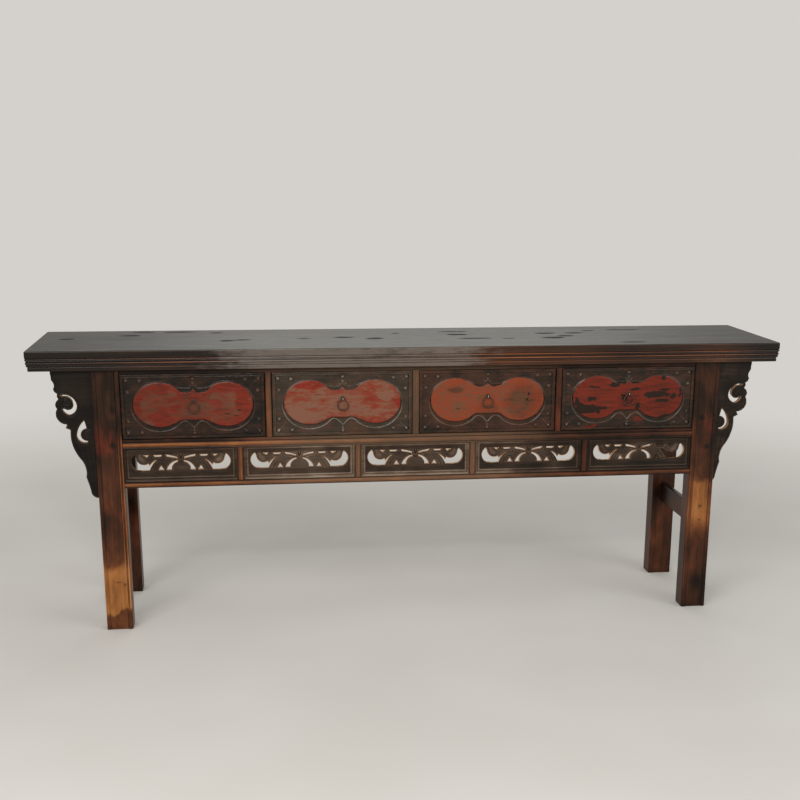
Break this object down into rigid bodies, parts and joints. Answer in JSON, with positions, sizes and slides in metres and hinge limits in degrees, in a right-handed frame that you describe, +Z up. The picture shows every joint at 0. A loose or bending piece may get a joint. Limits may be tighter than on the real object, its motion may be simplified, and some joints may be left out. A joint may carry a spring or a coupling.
{
  "type": "altar table with drawers",
  "caption": "Long narrow altar table in dark worn lacquer: square moulded legs, a row of drawers with red gourd panels and ring pulls, an openwork frieze and carved spandrels.",
  "frame": {"origin": "on the floor, under the middle of the top", "axes": "+X along the table to the right as seen from the front, +Y from the front to the back, +Z up"},
  "size_m": [2.32, 0.464, 0.88],
  "materials": {
    "top_lacquer": "worn dark lacquer over open grain, half sheen",
    "frame_lacquer": "dark brown lacquer worn to orange brown wood on its edges",
    "carved_lacquer": "dark olive brown lacquer on carved work",
    "front_lacquer": "brick red lacquer panel in a dark carved field, worn along the grain",
    "inner_wood": "bare aged softwood",
    "aged_iron": "dark handled iron"
  },
  "bodies": {
    "carcase": {"top_board": "top_lacquer", "leg_front_left": "frame_lacquer", "leg_front_right": "frame_lacquer", "leg_back_left": "frame_lacquer", "leg_back_right": "frame_lacquer", "rail_upper": "frame_lacquer", "rail_middle": "frame_lacquer", "rail_bottom": "frame_lacquer", "post_1": "frame_lacquer", "post_2": "frame_lacquer", "post_3": "frame_lacquer", "mullion_1": "frame_lacquer", "mullion_2": "frame_lacquer", "mullion_3": "frame_lacquer", "mullion_4": "frame_lacquer", "frieze_board_1": "carved_lacquer", "frieze_board_2": "carved_lacquer", "frieze_board_3": "carved_lacquer", "frieze_board_4": "carved_lacquer", "frieze_board_5": "carved_lacquer", "spandrel_left": "carved_lacquer", "spandrel_right": "carved_lacquer", "side_board_left": "frame_lacquer", "side_board_right": "frame_lacquer", "side_stretcher_left": "frame_lacquer", "side_stretcher_right": "frame_lacquer", "back_rail": "frame_lacquer", "back_board": "inner_wood", "drawer_floor": "inner_wood", "drawer_guide_1": "inner_wood", "drawer_guide_2": "inner_wood", "drawer_guide_3": "inner_wood"},
    "drawer_1": {"drawer_1_front": "front_lacquer", "drawer_1_side_left": "inner_wood", "drawer_1_side_right": "inner_wood", "drawer_1_back": "inner_wood", "drawer_1_bottom": "inner_wood", "drawer_1_pull_eye": "aged_iron"},
    "drawer_2": {"drawer_2_front": "front_lacquer", "drawer_2_side_left": "inner_wood", "drawer_2_side_right": "inner_wood", "drawer_2_back": "inner_wood", "drawer_2_bottom": "inner_wood", "drawer_2_pull_eye": "aged_iron"},
    "drawer_3": {"drawer_3_front": "front_lacquer", "drawer_3_side_left": "inner_wood", "drawer_3_side_right": "inner_wood", "drawer_3_back": "inner_wood", "drawer_3_bottom": "inner_wood", "drawer_3_pull_eye": "aged_iron"},
    "drawer_4": {"drawer_4_front": "front_lacquer", "drawer_4_side_left": "inner_wood", "drawer_4_side_right": "inner_wood", "drawer_4_back": "inner_wood", "drawer_4_bottom": "inner_wood", "drawer_4_pull_eye": "aged_iron"},
    "pull_1": {"drawer_1_pull_ring": "aged_iron"},
    "pull_2": {"drawer_2_pull_ring": "aged_iron"},
    "pull_3": {"drawer_3_pull_ring": "aged_iron"},
    "pull_4": {"drawer_4_pull_ring": "aged_iron"}
  },
  "joints": [
    {"name": "drawer_1_slide", "type": "slide", "parent": "carcase", "child": "drawer_1", "axis": [0, -1, 0], "range_m": [0, 0.26]},
    {"name": "drawer_2_slide", "type": "slide", "parent": "carcase", "child": "drawer_2", "axis": [0, -1, 0], "range_m": [0, 0.26]},
    {"name": "drawer_3_slide", "type": "slide", "parent": "carcase", "child": "drawer_3", "axis": [0, -1, 0], "range_m": [0, 0.26]},
    {"name": "drawer_4_slide", "type": "slide", "parent": "carcase", "child": "drawer_4", "axis": [0, -1, 0], "range_m": [0, 0.26]},
    {"name": "pull_1_swing", "type": "hinge", "parent": "drawer_1", "child": "pull_1", "pos_m": [-0.678, -0.216, 0.722], "axis": [-1, 0, 0], "range_deg": [-6, 120]},
    {"name": "pull_2_swing", "type": "hinge", "parent": "drawer_2", "child": "pull_2", "pos_m": [-0.226, -0.216, 0.722], "axis": [-1, 0, 0], "range_deg": [-6, 120]},
    {"name": "pull_3_swing", "type": "hinge", "parent": "drawer_3", "child": "pull_3", "pos_m": [0.226, -0.216, 0.722], "axis": [-1, 0, 0], "range_deg": [-6, 120]},
    {"name": "pull_4_swing", "type": "hinge", "parent": "drawer_4", "child": "pull_4", "pos_m": [0.678, -0.216, 0.722], "axis": [-1, 0, 0], "range_deg": [-6, 120]}
  ]
}
